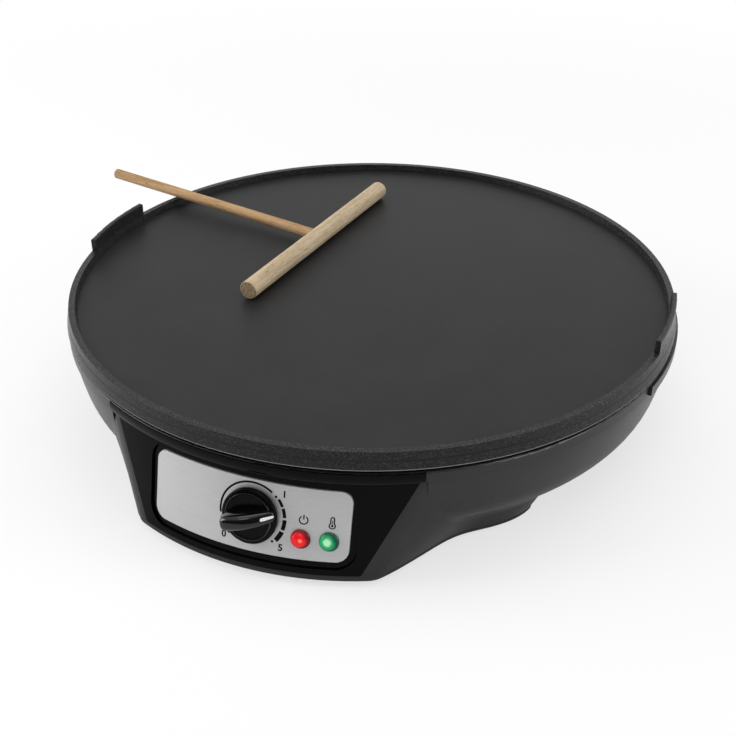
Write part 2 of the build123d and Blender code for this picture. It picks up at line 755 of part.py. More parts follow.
# Sleeves between shield and plate, and the long screws from below
for number, (x, y) in enumerate(pillar_places, 1):
    with BuildPart() as spacer:
        with Locations((x, y, shield_height + shield_sheet)):
            height = plate_under - boss_depth - shield_height - shield_sheet
            Cylinder(spacer_diameter / 2, height, align=upright)
            Cylinder(screw_diameter / 2 + screw_clearance, height, align=upright,
                     mode=Mode.SUBTRACT)
    finish(spacer, f"plate_spacer_{number}")
    with BuildPart() as screw:
        with Locations((x, y, pillar_counterbore)):
            Cylinder(screw_head / 2, screw_head_height, align=hanging)
            Cylinder(screw_diameter / 2, screw_end - pillar_counterbore, align=upright)
    finish(screw, f"plate_screw_{number}")

# ---------------------------------------------------------------- thermostat
with BuildPart() as thermostat_bracket:
    with BuildSketch(knob_seat.offset(-bracket_depth)):
        RectangleRounded(2 * post_spread + 1.4 * post_diameter, 3 * post_diameter, holder_corner)
        Circle(bushing_diameter / 2, mode=Mode.SUBTRACT)
    extrude(amount=sheet)
finish(thermostat_bracket, "thermostat_bracket")

shaft_hole = shaft_diameter / 2 + running_fit
with BuildPart() as thermostat_body:
    with BuildSketch(knob_seat.offset(-bracket_depth)):
        Circle(thermostat_radius)
    extrude(amount=-thermostat_depth)
    fillet(edges().filter_by(GeomType.CIRCLE), radius=body_bend)
    with BuildSketch(knob_seat.offset(-bracket_depth)):
        Circle(bushing_diameter / 2)
    extrude(amount=bracket_depth)
    with BuildSketch(knob_seat.offset(-bracket_depth - shaft_sunk - running_fit)):
        Circle(shaft_hole)
    extrude(amount=long_cut, mode=Mode.SUBTRACT)
finish(thermostat_body, "thermostat_body")

# ---------------------------------------------------------------- knob
knob_face = knob_seat.offset(knob_gap)
pointing = knob_face.x_dir * cos(radians(grip_turn)) + knob_face.y_dir * sin(radians(grip_turn))
grip = Plane(knob_face.origin, x_dir=pointing, z_dir=knob_face.z_dir)
with BuildPart() as thermostat_shaft:
    with BuildSketch(knob_seat.offset(-bracket_depth - shaft_sunk)):
        Circle(shaft_diameter / 2)
    extrude(amount=bracket_depth + shaft_sunk + knob_gap + shaft_in_knob)
    with BuildSketch(grip):
        with Locations((0, shaft_flat)):
            Rectangle(shaft_diameter, shaft_diameter, align=(Align.CENTER, Align.MIN))
    extrude(amount=shaft_in_knob, mode=Mode.SUBTRACT)
finish(thermostat_shaft, "thermostat_shaft")

# Side view of the grip bar: blunt at the tail, sloping down to the pointer's end
grip_side = Plane(grip.origin, x_dir=grip.x_dir, z_dir=-grip.y_dir)
slope_top = (grip_crest, grip_height)
slope_foot = (knob_radius, flange_thickness + grip_foot)
slope = Vector(slope_foot[0] - slope_top[0], slope_foot[1] - slope_top[1]).normalized()
under = Vector(-slope.Y, slope.X) * -pointer_depth
with BuildPart() as knob_pointer:
    with BuildSketch(grip_side.offset(-pointer_width / 2)):
        with BuildLine():
            upper = Vector(*slope_top) + slope * pointer_start
            lower = Vector(*slope_foot)
            Polyline(upper, lower, lower + under, upper + under, close=True)
        make_face()
    extrude(amount=pointer_width)
finish(knob_pointer, "knob_pointer")

# Grip bar with a round tail and soft edges
with BuildPart() as grip_bar:
    with BuildSketch(grip_side.offset(-grip_width / 2)):
        with BuildLine():
            Polyline((-grip_tail, 0), (-grip_tail, grip_height), slope_top, slope_foot,
                     (slope_foot[0], 0), close=True)
        make_face()
    extrude(amount=grip_width)
    upright_edges = edges().filter_by(Axis(grip.origin, grip.z_dir))
    fillet(upright_edges.sort_by(Axis(grip.origin, grip.x_dir))[:2], radius=grip_tail_bend)
    with BuildSketch(knob_face):
        Circle(knob_radius)
    extrude(amount=grip_height, mode=Mode.INTERSECT)
    fillet([edge for edge in edges()
            if grip.to_local_coords(edge.center()).Z > grip_soft_from * grip_height],
           radius=grip_bend)

with BuildPart() as control_knob:
    with BuildSketch(knob_face):
        Circle(knob_radius)
    extrude(amount=flange_thickness)
    fillet(edges().filter_by(GeomType.CIRCLE).sort_by(Axis(knob_face.origin, knob_face.z_dir))[-1],
           radius=flange_bend)
    with BuildSketch(knob_face.offset(flange_thickness)):
        Circle(inner_radius)
    extrude(amount=step_height, taper=step_taper)
    add(grip_bar.part)
    with BuildSketch(grip):
        Circle(shaft_hole)
        with Locations((0, shaft_flat + running_fit)):
            Rectangle(shaft_diameter, shaft_diameter, align=(Align.CENTER, Align.MIN),
                      mode=Mode.SUBTRACT)
    extrude(amount=shaft_in_knob + rest_gap, mode=Mode.SUBTRACT)
    add(knob_pointer.part, mode=Mode.SUBTRACT)
finish(control_knob, "control_knob")

# ---------------------------------------------------------------- signal lamps
dome_radius = ((lens_diameter / 2) ** 2 + lens_dome ** 2) / (2 * lens_dome)
for name, x in (("red", lamp_spots[0][0]), ("green", lamp_spots[1][0])):
    seat = Plane(lamp_seat.from_local_coords((x, 0, 0)), x_dir=lamp_seat.x_dir, z_dir=lamp_seat.z_dir)
    with BuildPart() as lens:
        with BuildSketch(seat.offset(-lens_depth)):
            Circle(lens_diameter / 2)
        extrude(amount=lens_depth + lens_rise)
        with BuildSketch(Plane(seat.origin, x_dir=seat.x_dir, z_dir=-seat.y_dir)):
            with BuildLine():
                edge = lens_diameter / 2
                RadiusArc((edge, lens_rise), (0, lens_rise + lens_dome), -dome_radius)
                Polyline((0, lens_rise + lens_dome), (0, lens_rise), (edge, lens_rise))
            make_face()
        revolve(axis=Axis(seat.origin, seat.z_dir))
        with BuildSketch(seat.offset(-lens_depth)):
            Circle(lamp_diameter / 2)
        extrude(amount=lens_depth - lens_skin, mode=Mode.SUBTRACT)
    finish(lens, f"{name}_lens")
    with BuildPart() as lamp:
        with BuildSketch(seat.offset(-lens_skin)):
            Circle(lamp_diameter / 2)
        extrude(amount=-lamp_length)
        fillet(edges().filter_by(GeomType.CIRCLE), radius=lamp_bend)
    finish(lamp, f"{name}_lamp")

with BuildPart() as lamp_holder:
    with BuildSketch(lamp_seat.offset(-holder_depth)):
        RectangleRounded(lamp_pitch + 2 * lamp_diameter, 2 * lamp_post + post_diameter,
                         holder_corner)
        with Locations(*lamp_spots):
            Circle(lamp_diameter / 2, mode=Mode.SUBTRACT)
    extrude(amount=-sheet)
finish(lamp_holder, "lamp_holder")


# ---------------------------------------------------------------- wires, tubes and straps
def routed(points):
    """Straight runs between the points, joined by tangent arcs."""
    places = [Vector(*point) for point in points]
    start = places[0]
    for before, corner, after in zip(places, places[1:], places[2:]):
        arriving = corner - before
        leaving = after - corner
        reach = bend_share * min(arriving.length, leaving.length)
        bend_start = corner - arriving.normalized() * reach
        bend_stop = corner + leaving.normalized() * reach
        Line(start, bend_start)
        TangentArc(bend_start, bend_stop, tangent=arriving.normalized())
        start = bend_stop
    Line(start, places[-1])


def tube(points, diameter):
    """Round wire or tube along a route."""
    with BuildPart() as wire:
        with BuildLine():
            routed(points)
        start = Vector(*points[0])
        with BuildSketch(Plane(start, z_dir=Vector(*points[1]) - start)):
            Circle(diameter / 2)
        sweep()
    return wire


def strap(centre, diameter, name):
    """Sheet strap that holds a round piece, lying along X, against the plate's underside."""
    with BuildPart() as band:
        with BuildSketch(Plane((centre[0] - strap_width / 2, centre[1], plate_under),
                               x_dir=(0, 1, 0), z_dir=(1, 0, 0))):
            rising = (Align.CENTER, Align.MIN)
            Rectangle(diameter + 3 * strap_width, strap_sheet, align=(Align.CENTER, Align.MAX))
            with Locations((0, -diameter / 2)):
                Circle(diameter / 2 + strap_sheet)
                Rectangle(diameter + 2 * strap_sheet, diameter / 2, align=rising)
                Circle(diameter / 2, mode=Mode.SUBTRACT)
                Rectangle(diameter, diameter, align=rising, mode=Mode.SUBTRACT)
            Rectangle(4 * diameter, diameter, align=rising, mode=Mode.SUBTRACT)
        extrude(amount=strap_width)
    finish(band, name)


terminals = [
    knob_seat.from_local_coords((x, -terminal_drop, -bracket_depth - thermostat_depth))
    for x in (-terminal_offset, terminal_offset)
]
inward = knob_seat.z_dir * -1
pin_low = leg_low - pin_length
leg_x, leg_y = leg_places[0]


def block_run(x):
    """Start of a lead at the terminal block: its end and the end of its straight run."""
    front = block_y - block_width / 2
    height = floor_pad + block_height / 2
    return [(x, front, height), (x, front - lead_exit, height)]


live_lead = tube([
    *block_run(0), *live_route, tuple(terminals[0] + inward * live_run), tuple(terminals[0]),
], lead_diameter)
finish(live_lead, "live_lead")

switched_lead = tube([
    tuple(terminals[1]), tuple(terminals[1] + inward * switched_run), (leg_x, leg_y, leg_route_low),
    (leg_x, leg_y, pin_low),
], lead_diameter)
finish(switched_lead, "switched_lead")

neutral_lead = tube([
    *block_run(-lead_pitch), *neutral_route, (-leg_x, leg_y, leg_route_low), (-leg_x, leg_y, pin_low),
], lead_diameter)
finish(neutral_lead, "neutral_lead")

earth_x, earth_y, earth_low = earth_route[0]
earth_lead = tube([
    *block_run(lead_pitch), *earth_route, (earth_x, earth_y, shield_height),
], lead_diameter)
finish(earth_lead, "earth_lead")

bulb_axis = plate_under - bulb_diameter / 2
with BuildPart() as capillary_bulb:
    with BuildSketch(Plane((-bulb_length / 2, bulb_y, bulb_axis), z_dir=(1, 0, 0))):
        Circle(bulb_diameter / 2)
    extrude(amount=bulb_length)
finish(capillary_bulb, "capillary_bulb")
strap((0, bulb_y), bulb_diameter, "bulb_strap")

capillary_end = knob_seat.from_local_coords(
    (-terminal_offset, terminal_offset, -bracket_depth - thermostat_depth))
capillary_tube = tube([
    (-bulb_length / 2, bulb_y, bulb_axis), (*capillary_drop, bulb_axis),
    (*capillary_drop, capillary_low), *capillary_route,
    tuple(capillary_end + inward * capillary_run), tuple(capillary_end),
], capillary_diameter)
finish(capillary_tube, "capillary_tube")

with BuildPart() as thermal_fuse:
    with BuildSketch(Plane((fuse_place[0] - fuse_length / 2, fuse_place[1],
                            plate_under - fuse_diameter / 2), z_dir=(1, 0, 0))):
        Circle(fuse_diameter / 2)
    extrude(amount=fuse_length)
    fillet(edges().filter_by(GeomType.CIRCLE), radius=fuse_bend)
finish(thermal_fuse, "thermal_fuse")
strap(fuse_place, fuse_diameter, "fuse_strap")

# ---------------------------------------------------------------- mains inlet
with BuildPart() as terminal_block:
    with BuildSketch(Plane.XY.offset(floor_pad)):
        with Locations((0, block_y)):
            RectangleRounded(block_length, block_width, block_corner)
    extrude(amount=block_height)
    with Locations((0, block_y, floor_pad + block_height)):
        with GridLocations(lead_pitch, 0, 3, 1):
            Cylinder(terminal_hole, block_height, mode=Mode.SUBTRACT)
finish(terminal_block, "terminal_block")

inlet = Plane((0, inlet_face, inlet_height), z_dir=(0, 1, 0))
with BuildPart() as cord_bushing:
    with BuildSketch(inlet):
        Circle(inlet_flange / 2)
    extrude(amount=wall)
    fillet(edges().group_by(Axis.Y)[-1], radius=bushing_lip)
    with BuildSketch(inlet.offset(-inlet_depth)):
        Circle(inlet_neck / 2)
    extrude(amount=inlet_depth)
    with BuildSketch(inlet.offset(-inlet_depth)):
        Circle(inlet_neck / 2 + bushing_lip)
    extrude(amount=-bushing_lip_length)
    with Locations(inlet):
        Cylinder(inlet_bore / 2, long_cut, mode=Mode.SUBTRACT)
finish(cord_bushing, "cord_bushing")

clamp_places = [(-clamp_span / 2, clamp_y), (clamp_span / 2, clamp_y)]
with BuildPart() as cord_clamp:
    with BuildSketch(Plane.XY.offset(clamp_height)):
        with Locations((0, clamp_y)):
            SlotCenterToCenter(clamp_span, clamp_bar_width)
        with Locations(*clamp_places):
            Circle(cover_screw_diameter / 2, mode=Mode.SUBTRACT)
    extrude(amount=clamp_bar)
finish(cord_clamp, "cord_clamp")

for number, (x, y) in enumerate(clamp_places, 1):
    with BuildPart() as clamp_screw:
        with Locations((x, y, clamp_height + clamp_bar)):
            Cylinder(cover_screw_head / 2, cover_head_height, align=upright)
            Cylinder(cover_screw_diameter / 2, clamp_bar + clamp_screw_reach, align=hanging)
    finish(clamp_screw, f"clamp_screw_{number}")

# ---------------------------------------------------------------- wooden spreader
head_height = cooking_top + rest_gap + head_diameter / 2
head_start = Vector(*head_near, head_height)
head_stop = Vector(*head_far, head_height)
head_middle = (head_start + head_stop) * 0.5
handle_flat = Vector(handle_end[0] - head_middle.X, handle_end[1] - head_middle.Y, 0)
handle_run = handle_flat.length
handle_along = handle_flat.normalized()
# Distance from the head to where the handle passes over the rim's inner edge
inner = head_middle.X * handle_along.X + head_middle.Y * handle_along.Y
rim_run = -inner + sqrt(inner ** 2 + cooking_radius ** 2 - head_middle.X ** 2 - head_middle.Y ** 2)
handle_rise = rim_top + rest_gap + handle_diameter / 2 - head_height
handle_stop = head_middle + handle_flat + Vector(0, 0, handle_rise * handle_run / rim_run + rest_gap)

with BuildPart() as spreader_handle:
    with BuildSketch(Plane(head_middle, z_dir=handle_stop - head_middle)):
        Circle(handle_diameter / 2)
    extrude(amount=(handle_stop - head_middle).length)
    fillet(edges().filter_by(GeomType.CIRCLE).sort_by(Axis.X)[0], radius=wood_bend)
finish(spreader_handle, "spreader_handle")

with BuildPart() as spreader_head:
    with BuildSketch(Plane(head_start, z_dir=head_stop - head_start)):
        Circle(head_diameter / 2)
    extrude(amount=(head_stop - head_start).length)
    fillet(edges().filter_by(GeomType.CIRCLE), radius=wood_bend)
    with BuildSketch(Plane(head_middle, z_dir=handle_stop - head_middle)):
        Circle(handle_diameter / 2)
    extrude(amount=head_diameter, mode=Mode.SUBTRACT)
finish(spreader_head, "spreader_head")
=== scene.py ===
"""Electric crepe maker with its wooden spreader: finishes, printed dial, studio and camera.

Metres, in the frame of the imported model: the ground under the plate's centre is the origin,
+Z is up and the control front faces -Y.
"""

import json
import math

import bmesh
import bpy
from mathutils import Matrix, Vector

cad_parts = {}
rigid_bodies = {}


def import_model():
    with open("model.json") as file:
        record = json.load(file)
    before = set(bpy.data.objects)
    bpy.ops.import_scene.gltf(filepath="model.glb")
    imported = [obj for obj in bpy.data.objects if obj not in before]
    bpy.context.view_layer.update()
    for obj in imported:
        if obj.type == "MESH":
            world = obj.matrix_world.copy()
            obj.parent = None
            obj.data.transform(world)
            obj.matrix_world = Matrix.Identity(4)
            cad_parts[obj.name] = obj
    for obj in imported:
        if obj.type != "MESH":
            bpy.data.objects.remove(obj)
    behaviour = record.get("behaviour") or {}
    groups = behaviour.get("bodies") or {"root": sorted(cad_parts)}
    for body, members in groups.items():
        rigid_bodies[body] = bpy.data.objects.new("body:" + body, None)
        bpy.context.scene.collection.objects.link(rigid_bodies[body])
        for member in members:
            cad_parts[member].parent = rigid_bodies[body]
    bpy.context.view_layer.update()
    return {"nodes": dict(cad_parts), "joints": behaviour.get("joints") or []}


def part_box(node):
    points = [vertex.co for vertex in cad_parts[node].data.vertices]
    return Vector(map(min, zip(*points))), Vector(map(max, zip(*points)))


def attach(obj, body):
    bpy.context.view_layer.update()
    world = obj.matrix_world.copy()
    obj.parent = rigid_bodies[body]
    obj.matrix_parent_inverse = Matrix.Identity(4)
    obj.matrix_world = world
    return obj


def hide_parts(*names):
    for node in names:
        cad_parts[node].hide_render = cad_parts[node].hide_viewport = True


for leftover in list(bpy.data.objects):
    bpy.data.objects.remove(leftover)
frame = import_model()
nodes = frame["nodes"]
stage = bpy.context.scene.collection.objects

# ---------------------------------------------------------------- camera
# A long lens a little to the right of the front, looking down on the plate from about 32
# degrees, so that the cooking surface, the dial and the right flank all show.
eye_place = Vector((0.1927, -0.5157, 0.3575))
eye_direction = Vector((-0.299, 0.7917, -0.5328))
camera_data = bpy.data.cameras.new("camera")
camera_data.lens = 56.5
camera_data.sensor_width = 36.0
camera = bpy.data.objects.new("camera", camera_data)
camera.location = eye_place
camera.rotation_mode = "QUATERNION"
camera.rotation_quaternion = eye_direction.to_track_quat("-Z", "Y")
stage.link(camera)
bpy.context.scene.camera = camera
bpy.context.scene.view_settings.view_transform = "Standard"


# ---------------------------------------------------------------- floor
# Pale seamless studio floor, a wide disc. It is lit like any matt surface and keeps the
# shadow; towards the camera it also carries the white of the surroundings.
class Link:
    """A socket in a node tree. Arithmetic on it adds Math nodes."""

    def __init__(self, tree, socket=None):
        self.tree = tree
        self.socket = socket

    def node(self, kind, settings=None, sockets=None, output=0):
        """Any node: its settings are set first, then its sockets are given values or links."""
        made = self.tree.nodes.new("ShaderNode" + kind)
        for name, value in (settings or {}).items():
            if name == "stops":
                ramp = made.color_ramp
                while len(ramp.elements) < len(value):
                    ramp.elements.new(1.0)
                for element, (position, colour) in zip(ramp.elements, value):
                    element.position = position
                    element.color = (*colour, 1.0)
            else:
                setattr(made, name, value)
        for name, value in (sockets or {}).items():
            if isinstance(value, Link):
                self.tree.links.new(value.socket, made.inputs[name])
            else:
                made.inputs[name].default_value = value
        return Link(self.tree, made.outputs[output] if made.outputs else None)

    def math(self, operation, *values):
        return self.node("Math", {"operation": operation}, dict(enumerate(values)))

    def __add__(self, other):
        return self.math("ADD", self, other)

    def __sub__(self, other):
        return self.math("SUBTRACT", self, other)

    def __rsub__(self, other):
        return self.math("SUBTRACT", other, self)

    def __mul__(self, other):
        return self.math("MULTIPLY", self, other)

    def __truediv__(self, other):
        return self.math("DIVIDE", self, other)

    __radd__ = __add__
    __rmul__ = __mul__

    def either(self, other):
        """The larger of the two, so a mask of what either of them covers."""
        return self.math("MAXIMUM", self, other)

    def root(self):
        return self.math("SQRT", self)

    def sine(self):
        return self.math("SINE", self)

    def vector(self, operation, other, output="Vector"):
        """Vector Math between this and another vector."""
        return self.node("VectorMath", {"operation": operation}, {0: self, 1: other}, output)

    def length(self):
        return self.node("VectorMath", {"operation": "LENGTH"}, {0: self}, "Value")

    def axis(self, name):
        return self.node("SeparateXYZ", {}, {"Vector": self}, name)

    def rise(self, low, high):
        """0 below low, 1 above high, and smooth between."""
        sockets = {"Value": self, "From Min": low, "From Max": high}
        return self.node("MapRange", {"interpolation_type": "SMOOTHSTEP"}, sockets)

    def blend(self, first, second):
        """The first colour where this is 0, the second where it is 1."""
        first, second = [c if isinstance(c, Link) else (*c, 1.0) for c in (first, second)]
        return self.node("Mix", {"data_type": "RGBA"}, {0: self, 6: first, 7: second}, 2)

    def stretch(self, scale):
        """Coordinates multiplied by a scale along each axis."""
        return self.node("Mapping", {}, {"Vector": self, "Scale": scale})

    def noise(self, scale, detail=3.0, roughness=0.5):
        """Noise between about 0.3 and 0.7, with cells 1/scale metres wide."""
        sockets = {"Vector": self, "Scale": scale, "Detail": detail, "Roughness": roughness}
        return self.node("TexNoise", {}, sockets)

    def bump(self, strength, distance):
        return self.node("Bump", {}, {"Height": self, "Strength": strength, "Distance": distance})


def start_material(name):
    """A new material, and the place on the piece that its patterns are worked out from."""
    material = bpy.data.materials.new(name)
    material.use_nodes = True
    material.node_tree.nodes.clear()
    return material, Link(material.node_tree).node("TexCoord", output="Object")


def close_material(material, place, sockets):
    """Principled surface: what varies is a link, and what doesn't is a number."""
    surface = place.node("BsdfPrincipled", {}, sockets)
    place.node("OutputMaterial", {}, {"Surface": surface})
    return material


def put_on(material, *pieces):
    """Gives the material to whole pieces."""
    for piece in pieces:
        piece.data.materials.clear()
        piece.data.materials.append(material)


def finished(name, form):
    """A finished form as an object of its own in the scene."""
    mesh = bpy.data.meshes.new(name)
    form.to_mesh(mesh)
    form.free()
    piece = bpy.data.objects.new(name, mesh)
    stage.link(piece)
    return piece


floor_radius = 3.0
floor_near = 0.28
floor_far = 0.9
floor_pale = (0.86, 0.86, 0.86)
floor_dull = (0.8, 0.8, 0.8)
white = (1.0, 1.0, 1.0, 1.0)
white_near = 0.65       # share of plain white that the camera sees near the object
form = bmesh.new()
bmesh.ops.create_circle(form, cap_ends=True, segments=96, radius=floor_radius)
floor = finished("floor", form)

floor_paint, place = start_material("floor_paint")
mottle = place.noise(3.0) * 0.02
paint = place.node("BsdfDiffuse", {}, {"Color": mottle.blend(floor_pale, floor_dull)})
surroundings = place.node("Emission", {}, {"Color": white, "Strength": 1.0})
seen = place.node("LightPath", output="Is Camera Ray")
away = place.length().rise(floor_near, floor_far)
plain_white = seen * (away * (1 - white_near) + white_near)
lit = place.node("MixShader", {}, {0: plain_white, 1: paint, 2: surroundings})
place.node("OutputMaterial", {}, {"Surface": lit})
put_on(floor_paint, floor)

# ---------------------------------------------------------------- studio light
# One broad light overhead, one on each side and a weak one high in front. The right one is narrow
# and draws the bright line down that flank. The room is white behind and above, and dim elsewhere.

# Each light's place, what it points at, its width and height, and its power in watts
lights = {
    "overhead": ((0.0, 0.25, 1.5), (0.0, 0.0, 0.0), (1.6, 1.2), 11.0),
    "left": ((-1.25, -0.45, 0.5), (0.0, -0.02, 0.04), (0.9, 0.9), 14.0),
    "right": ((1.2, 0.1, 0.45), (0.05, 0.0, 0.04), (0.5, 0.8), 6.5),
    "front": ((0.1, -1.3, 1.3), (0.0, -0.1, 0.03), (0.8, 0.4), 3.0),
}
for name, (where, aim, (width, height), power) in lights.items():
    light_data = bpy.data.lights.new("light_" + name, "AREA")
    light_data.shape = "RECTANGLE"
    light_data.size = width
    light_data.size_y = height
    light_data.energy = power
    light = bpy.data.objects.new("light_" + name, light_data)
    light.location = where
    light.rotation_mode = "QUATERNION"
    light.rotation_quaternion = (Vector(aim) - Vector(where)).to_track_quat("-Z", "Y")
    stage.link(light)

room_dim = 0.1          # strength of the room's dim side in reflections
room_fill = 0.4         # strength of the room's light on matt surfaces
room = bpy.data.worlds.new("room")
bpy.context.scene.world = room
room.use_nodes = True
room.node_tree.nodes.clear()
direction = Link(room.node_tree).node("TexCoord", output="Generated")
behind = direction.axis("Y").rise(-0.45, 0.3).either(direction.axis("Z").rise(0.35, 0.8))
glossy_ray = direction.node("LightPath", output="Is Glossy Ray")
glass_ray = direction.node("LightPath", output="Is Transmission Ray")
camera_ray = direction.node("LightPath", output="Is Camera Ray")
mirrored = glossy_ray.either(glass_ray)
reflected = mirrored * (behind * (1 - room_dim) + room_dim)
diffused = room_fill * (1 - camera_ray) * (1 - mirrored)
level = camera_ray.either(reflected.either(diffused))
glow = direction.node("Background", {}, {"Color": white, "Strength": level})
direction.node("OutputWorld", {}, {"Surface": glow})

# ---------------------------------------------------------------- griddle plate
# Cast aluminium with a non-stick coat: a fine even matt on the cooking surface, and a coarser
# sprayed grain with pale specks on rim, skirt and tabs. The casting is bare underneath. A pale
# line in patches along the skirt's lower edge is a painted highlight.
cooking_top = 0.065
plate_under = 0.0605
skirt_inner = 0.1568
skirt_bottom = 0.06
cooking_dark = (0.01, 0.01, 0.0105)
cooking_pale = (0.0155, 0.0155, 0.016)
sprayed_dark = (0.009, 0.009, 0.0095)
sprayed_pale = (0.085, 0.085, 0.087)
casting_dark = (0.32, 0.32, 0.33)
casting_pale = (0.46, 0.46, 0.47)
# colour of the painted highlight along the skirt's lower edge
edge_highlight_colour = (0.3, 0.3, 0.305)

plate_coat, place = start_material("plate_coat")
height = place.axis("Z")
out = place.vector("MULTIPLY", (1.0, 1.0, 0.0)).length()
below_rim = 1 - height.rise(cooking_top + 0.0001, cooking_top + 0.0008)
top = below_rim * height.rise(cooking_top - 0.0008, cooking_top - 0.0002)
under = 1 - height.rise(plate_under - 0.0001, plate_under + 0.0001)
bare = under * (1 - out.rise(skirt_inner - 0.0004, skirt_inner - 0.0001))
lower_edge = 1 - height.rise(skirt_bottom + 0.0004, skirt_bottom + 0.0009)
patchy = place.noise(5.0, 2.0).rise(0.36, 0.5)
# painted highlight: pale patches along the outside of the skirt's lower edge
edge_highlight = lower_edge * out.rise(skirt_inner + 0.001, skirt_inner + 0.0015) * patchy
cloud = place.noise(28.0, 4.0, 0.6)
grain = place.noise(1500.0, 2.0, 0.6)
speck = place.noise(2500.0, 2.0, 0.7).rise(0.5, 0.72)
cooking = (cloud * 0.6 + grain * 0.4).rise(0.35, 0.65).blend(cooking_dark, cooking_pale)
coated = top.blend(speck.blend(sprayed_dark, sprayed_pale), cooking)
plate_colour = bare.blend(coated, cloud.blend(casting_dark, casting_pale))
relief = grain * (1.4 - top) + speck * 0.6 * (1 - top) + cloud * 0.4
close_material(plate_coat, place, {
    # the painted edge highlight laid over the plate's colour
    "Base Color": (edge_highlight * 0.8).blend(plate_colour, edge_highlight_colour),
    "Roughness": 0.4 + cloud * 0.1 - (1 - top) * 0.18,
    "Metallic": bare * 0.8,
    "Specular IOR Level": 0.165,
    "Normal": relief.bump(0.35, 0.0002),
})
put_on(plate_coat, nodes["griddle_plate"])


# ---------------------------------------------------------------- base shell and bottom cover
# Heat-proof plastic moulded in black with a fine spark-eroded grain. The floor under the housing
# is a separate cover of the same plastic, a shade duller.
def moulded_plastic(name, dark, pale, rough):
    """Matt moulded plastic with spark-eroded grain and faint flow marks."""
    material, place = start_material(name)
    flow = place.stretch((14.0, 14.0, 40.0)).noise(1.0, 3.0, 0.55)
    grain = place.noise(2200.0, 2.0, 0.65)
    pits = place.noise(900.0, 2.0, 0.6)
    return close_material(material, place, {
        "Base Color": (flow * 0.5 + grain * 0.5).rise(0.36, 0.64).blend(dark, pale),
        "Roughness": rough + pits * 0.14 + flow * 0.06,
        "Specular IOR Level": 0.37,
        "Normal": (grain + pits * 0.7).bump(0.24, 0.0001),
    })


base_plastic = moulded_plastic("base_plastic", (0.006, 0.006, 0.0065), (0.012, 0.012, 0.0125), 0.2)
cover_plastic = moulded_plastic("cover_plastic", (0.016, 0.016, 0.017), (0.022, 0.022, 0.023), 0.46)
put_on(base_plastic, nodes["base_shell"])
put_on(cover_plastic, nodes["bottom_cover"])

# ---------------------------------------------------------------- control fascia
# Front moulding in polished black plastic, pressed on with pegs. Its gloss has the faint waviness
# of a thin wall, and a little dust.
gloss_black = (0.001, 0.0011, 0.0012)
dust_grey = (0.006, 0.006, 0.0065)
fascia_gloss, place = start_material("fascia_gloss")
wave = place.noise(55.0, 2.0, 0.4)
haze = place.noise(12.0, 4.0, 0.6)
dust = place.noise(3200.0, 1.0).rise(0.68, 0.76)
close_material(fascia_gloss, place, {
    "Base Color": dust.blend(gloss_black, dust_grey),
    "Roughness": 0.07 + haze * 0.08 + dust * 0.12,
    "Specular IOR Level": 0.07,
    "Normal": wave.bump(0.12, 0.0006),
})
put_on(fascia_gloss, nodes["control_fascia"])

# ---------------------------------------------------------------- collar skin
# Polished front of the collar above the fascia, a thin layer on the base moulding. It runs from
# the fascia's top edge up to just under the plate's skirt.
collar_radius = 0.1603
skin_half_width = 0.0775
skin_low = 0.0532
skin_high = 0.0582
skin_thick = 0.00025
skin_edge = skin_thick * 0.4        # how thick it still is at its two edges
skin_bend = 0.0003
skin_steps = 72
# How far each point of the section stands out from the collar, and its height
skin_section = [
    (-skin_thick, skin_low),
    (skin_edge, skin_low),
    (skin_thick, skin_low + skin_bend),
    (skin_thick, skin_high - skin_bend),
    (skin_edge, skin_high),
    (-skin_thick, skin_high),
]


def loft(form, rows):
    """Closed surface over rows of vertices, where each row is a closed outline."""
    for first, second in zip(rows, rows[1:]):
        for index in range(len(first)):
            after = (index + 1) % len(first)
            form.faces.new((first[index], first[after], second[after], second[index]))
    form.faces.new(rows[0])
    form.faces.new(rows[-1])
    bmesh.ops.recalc_face_normals(form, faces=form.faces)


form = bmesh.new()
rows = []
for step in range(skin_steps + 1):
    angle = math.asin(skin_half_width / collar_radius) * (2 * step / skin_steps - 1)
    lean = Vector((math.sin(angle), -math.cos(angle), 0.0))
    row = []
    for proud, high in skin_section:
        row.append(form.verts.new(lean * (collar_radius + proud) + Vector((0.0, 0.0, high))))
    rows.append(row)
loft(form, rows)
collar_skin = finished("collar_skin", form)
collar_skin.data.shade_smooth()
collar_skin.data.set_sharp_from_angle(angle=math.radians(60.0))
put_on(fascia_gloss, collar_skin)
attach(collar_skin, "base")

# ---------------------------------------------------------------- control panel
# Thin aluminium plate stuck in the fascia's recess, brushed from side to side and lacquered. The
# thermostat's bushing and the two lenses come through it.
panel_dark = (0.46, 0.46, 0.465)
panel_pale = (0.58, 0.58, 0.585)
panel_brushed, place = start_material("panel_brushed")
lines = place.stretch((40.0, 40.0, 3400.0)).noise(1.0, 4.0, 0.7)
fine = place.stretch((160.0, 160.0, 9000.0)).noise(1.0, 2.0, 0.7)
sheen = place.noise(24.0, 2.0, 0.5)
close_material(panel_brushed, place, {
    "Base Color": (lines * 0.4 + fine * 0.6).rise(0.2, 0.8).blend(panel_dark, panel_pale),
    "Roughness": 0.36 + lines * 0.1 + sheen * 0.06,
    "Metallic": 0.5,
    "Normal": (lines * 0.5 + fine).bump(0.12, 0.00006),
})
put_on(panel_brushed, nodes["control_panel"])

# ---------------------------------------------------------------- printed dial
# Screen-printed marks on the panel round the knob: a thin line over the idle turn, a dot at each
# end of the heat range, four dashes that grow towards the hot end, and plain numbers.

# The knob's seat on the panel, and the directions out of it, to its right and up the panel
knob_turn = next(joint for joint in frame["joints"] if joint["name"] == "knob_turn")
seat = Vector(knob_turn["pos_m"])
seat_out = Vector(knob_turn["axis"]).normalized()
seat_right = Vector((0.0, 0.0, 1.0)).cross(seat_out).normalized()
seat_up = seat_out.cross(seat_right).normalized()
